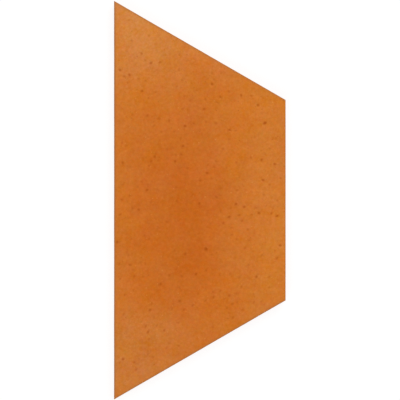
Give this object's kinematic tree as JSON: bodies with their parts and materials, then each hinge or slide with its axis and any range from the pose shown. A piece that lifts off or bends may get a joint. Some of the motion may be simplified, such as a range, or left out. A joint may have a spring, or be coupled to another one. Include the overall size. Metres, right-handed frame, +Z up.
{
  "type": "half-hexagon clinker floor tile",
  "caption": "Flat half-hexagon clinker floor tile: trapezoid face with rounded arrises, and a grooved underside that keys into tile adhesive.",
  "frame": {"origin": "middle of the tile's box, on the bed face", "axes": "+X from the long side to the short side, +Y along the long side, +Z up out of the wearing face"},
  "size_m": [0.1274, 0.296, 0.011],
  "materials": {
    "fired_clinker": "satin"
  },
  "bodies": {
    "root": {"floor_tile": "fired_clinker"}
  },
  "joints": []
}
